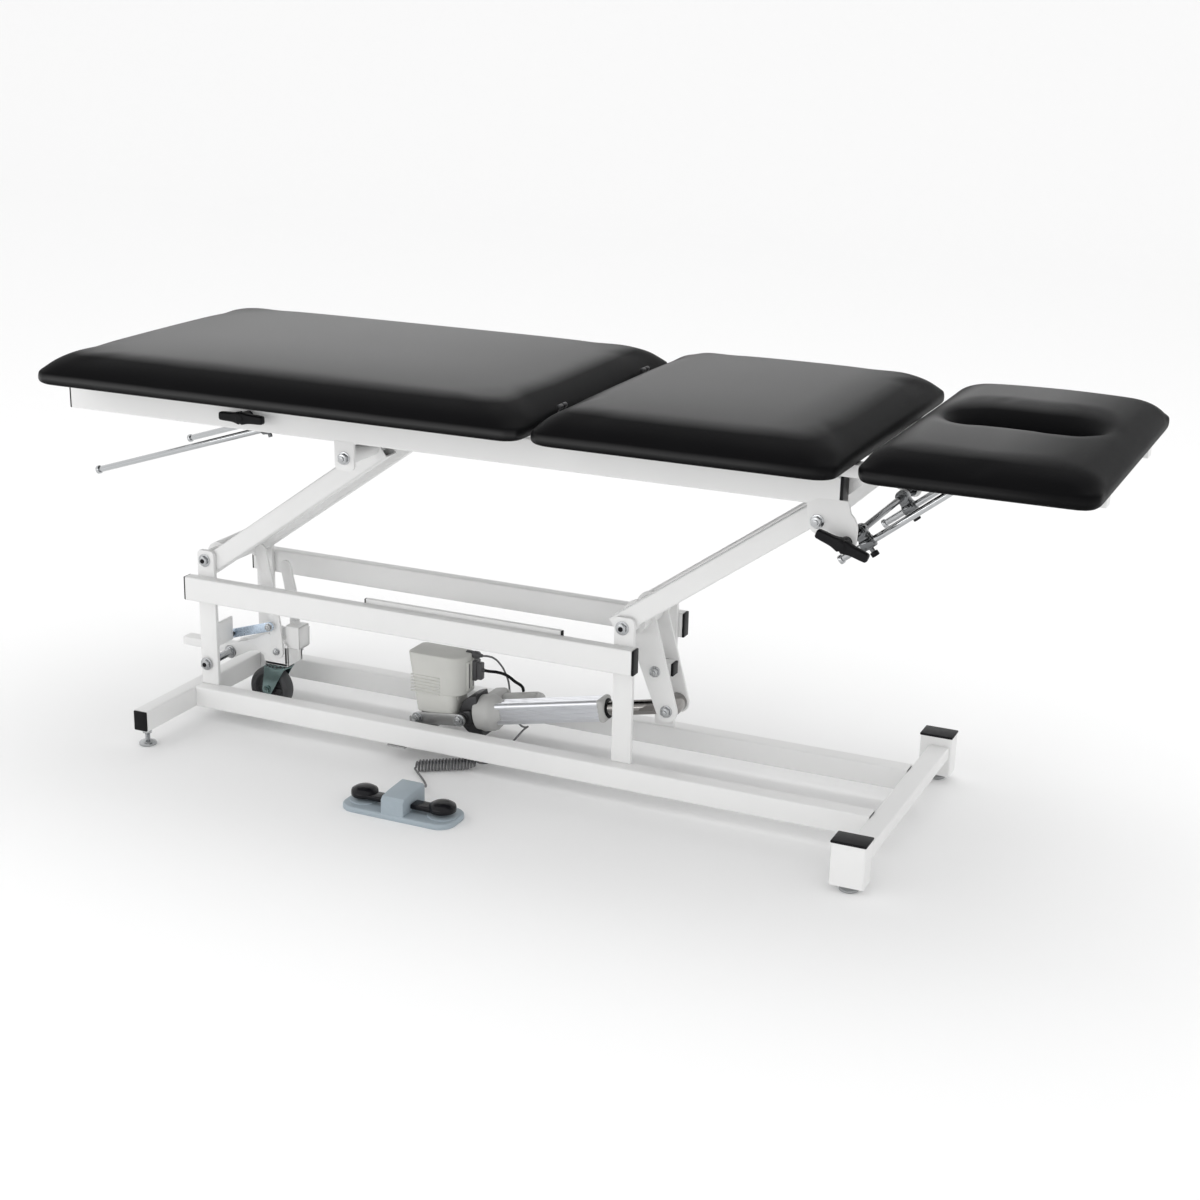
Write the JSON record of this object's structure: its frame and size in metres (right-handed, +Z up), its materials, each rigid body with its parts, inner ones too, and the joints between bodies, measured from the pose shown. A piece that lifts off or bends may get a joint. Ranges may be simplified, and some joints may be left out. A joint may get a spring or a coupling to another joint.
{
  "type": "treatment table",
  "caption": "Powered treatment table: sectioned padded top on a parallel-arm lift, rod-locked head and foot sections, a transport caster and a foot switch on a curly cord.",
  "frame": {"origin": "on the floor, under the centre of the bounding box of the table with its foot switch", "axes": "+X towards the head end, +Y towards the far side (away from the lock handles and the foot switch), +Z up"},
  "size_m": [1.951, 0.719, 0.7646],
  "materials": {
    "white_paint": "white powder coat, semi-gloss",
    "zinc": "bright zinc-plated steel",
    "chrome": "polished chrome",
    "housing_plastic": "light grey moulded plastic",
    "switch_plastic": "blue-grey moulded plastic",
    "black_plastic": "black moulded plastic",
    "pedal_rubber": "black rubber",
    "vinyl": "black satin upholstery vinyl",
    "wheel_rubber": "grey rubber tread"
  },
  "bodies": {
    "base": {"foot_cross_tube": "white_paint", "head_cross_bar": "white_paint", "lower_rail_near": "white_paint", "lower_rail_far": "white_paint", "head_leg_near": "white_paint", "head_leg_far": "white_paint", "levelling_foot_foot_near": "zinc", "levelling_foot_foot_far": "zinc", "levelling_foot_head_near": "zinc", "levelling_foot_head_far": "zinc", "foot_post_near": "white_paint", "foot_post_far": "white_paint", "head_post_near": "white_paint", "head_post_far": "white_paint", "upper_rail_near": "white_paint", "upper_rail_far": "white_paint", "actuator_mount": "zinc", "control_box": "housing_plastic", "cable_channel": "white_paint", "caster_shaft": "zinc", "foot_switch_base": "switch_plastic", "motor_cable": "black_plastic", "switch_lead_upper": "black_plastic", "curly_cord": "black_plastic", "switch_lead_lower": "black_plastic"},
    "head_arm": {"head_lift_arm": "white_paint", "crank_plate_near": "white_paint", "crank_plate_far": "white_paint"},
    "foot_arm": {"foot_lift_arm": "white_paint"},
    "top_frame": {"top_rail_near": "white_paint", "top_rail_far": "white_paint", "top_cross_tube_head": "white_paint", "top_cross_tube_foot": "white_paint", "centre_cushion": "vinyl", "foot_lock_shaft": "zinc", "head_lock_shaft": "zinc"},
    "actuator": {"actuator_housing": "housing_plastic"},
    "actuator_slide": {"actuator_rod": "chrome"},
    "foot_section": {"foot_cushion": "vinyl", "foot_section_rail_near": "white_paint", "foot_section_rail_far": "white_paint"},
    "head_section": {"head_cushion": "vinyl", "head_section_rail_near": "white_paint", "head_section_rail_far": "white_paint"},
    "foot_clamps": {"foot_rod_clamp_near": "zinc", "foot_rod_clamp_far": "zinc"},
    "foot_rods": {"foot_rod_near": "chrome", "foot_rod_far": "chrome"},
    "head_clamps": {"head_rod_clamp_near": "zinc", "head_rod_clamp_far": "zinc"},
    "head_rods": {"head_rod_near": "chrome", "head_rod_far": "chrome"},
    "foot_handle": {"foot_lock_handle": "black_plastic"},
    "head_handle": {"head_lock_handle": "black_plastic"},
    "caster_carrier": {"caster_lever": "white_paint"},
    "caster_swivel": {"caster_fork": "zinc"},
    "caster_roller": {"caster_wheel": "wheel_rubber"},
    "pedal_left": {"foot_switch_pedal_left": "pedal_rubber"},
    "pedal_right": {"foot_switch_pedal_right": "pedal_rubber"}
  },
  "joints": [
    {"name": "head_arm_lift", "type": "hinge", "parent": "base", "child": "head_arm", "pos_m": [0.1375, 0.0165, 0.331], "axis": [0, -1, 0], "range_deg": [-36.4, 30]},
    {"name": "foot_arm_lift", "type": "hinge", "parent": "base", "child": "foot_arm", "pos_m": [-0.7485, 0.0165, 0.331], "axis": [0, -1, 0], "range_deg": [-36.5, 30.1]},
    {"name": "top_level", "type": "hinge", "parent": "head_arm", "child": "top_frame", "pos_m": [0.51199, 0.0165, 0.59812], "axis": [0, -1, 0], "range_deg": [-30.1, 36.5]},
    {"name": "actuator_tilt", "type": "hinge", "parent": "base", "child": "actuator", "pos_m": [-0.2215, 0.0165, 0.07], "axis": [0, -1, 0], "range_deg": [-0.8, 0.8]},
    {"name": "actuator_stroke", "type": "slide", "parent": "actuator", "child": "actuator_slide", "axis": [0.9785, 0, 0.206], "range_m": [-0.1097, 0.0905]},
    {"name": "foot_section_tilt", "type": "hinge", "parent": "top_frame", "child": "foot_section", "pos_m": [0.0465, 0.0165, 0.735], "axis": [0, 1, 0], "range_deg": [0, 45]},
    {"name": "foot_clamp_swivel", "type": "hinge", "parent": "top_frame", "child": "foot_clamps", "pos_m": [-0.5735, 0.0165, 0.655], "axis": [0, -1, 0], "range_deg": [-0.1, 39]},
    {"name": "foot_rod_slide", "type": "slide", "parent": "foot_clamps", "child": "foot_rods", "axis": [0.9521, 0, 0.3057], "range_m": [-0.0005, 0.261]},
    {"name": "head_section_tilt", "type": "hinge", "parent": "top_frame", "child": "head_section", "pos_m": [0.5925, 0.0165, 0.6878], "axis": [0, -1, 0], "range_deg": [-30, 25]},
    {"name": "head_clamp_swivel", "type": "hinge", "parent": "top_frame", "child": "head_clamps", "pos_m": [0.5635, 0.0165, 0.571], "axis": [0, -1, 0], "range_deg": [-15.9, 13.3]},
    {"name": "head_rod_pivot", "type": "hinge", "parent": "head_section", "child": "head_rods", "pos_m": [0.7355, 0.0165, 0.676], "axis": [0, -1, 0], "range_deg": [-11.9, 14.3]},
    {"name": "foot_handle_turn", "type": "hinge", "parent": "top_frame", "child": "foot_handle", "pos_m": [-0.5735, -0.2035, 0.655], "axis": [0, -1, 0], "range_deg": [-35, 35]},
    {"name": "head_handle_turn", "type": "hinge", "parent": "top_frame", "child": "head_handle", "pos_m": [0.5635, -0.2035, 0.571], "axis": [0, -1, 0], "range_deg": [-60, 60]},
    {"name": "caster_press", "type": "hinge", "parent": "base", "child": "caster_carrier", "pos_m": [-0.7515, 0.0165, 0.118], "axis": [0, 1, 0], "range_deg": [0, 6]},
    {"name": "caster_swivel_turn", "type": "hinge", "parent": "caster_carrier", "child": "caster_swivel", "pos_m": [-0.6525, 0.0165, 0.098], "axis": [0, 0, 1], "continuous": true},
    {"name": "caster_wheel_spin", "type": "hinge", "parent": "caster_swivel", "child": "caster_roller", "pos_m": [-0.6725, 0.0165, 0.047], "axis": [0, 1, 0], "continuous": true},
    {"name": "pedal_left_press", "type": "slide", "parent": "base", "child": "pedal_left", "axis": [0, 0, 1], "range_m": [-0.003, 0], "stiffness_N_per_m": 900, "springref_m": 0.001},
    {"name": "pedal_right_press", "type": "slide", "parent": "base", "child": "pedal_right", "axis": [0, 0, 1], "range_m": [-0.003, 0], "stiffness_N_per_m": 900, "springref_m": 0.001}
  ],
  "couplings": [
    {"joint": "foot_arm_lift", "follows": "head_arm_lift", "ratio": 1},
    {"joint": "top_level", "follows": "head_arm_lift", "ratio": -1},
    {"joint": "actuator_tilt", "follows": "head_arm_lift", "ratio": -0.02},
    {"joint": "actuator_stroke", "follows": "head_arm_lift", "m_per_rad": 0.1723},
    {"joint": "foot_clamp_swivel", "follows": "foot_section_tilt", "ratio": 0.864},
    {"joint": "foot_rod_slide", "follows": "foot_section_tilt", "m_per_rad": 0.3319},
    {"joint": "head_clamp_swivel", "follows": "head_section_tilt", "ratio": 0.5267},
    {"joint": "head_rod_pivot", "follows": "head_section_tilt", "ratio": -0.4733}
  ]
}
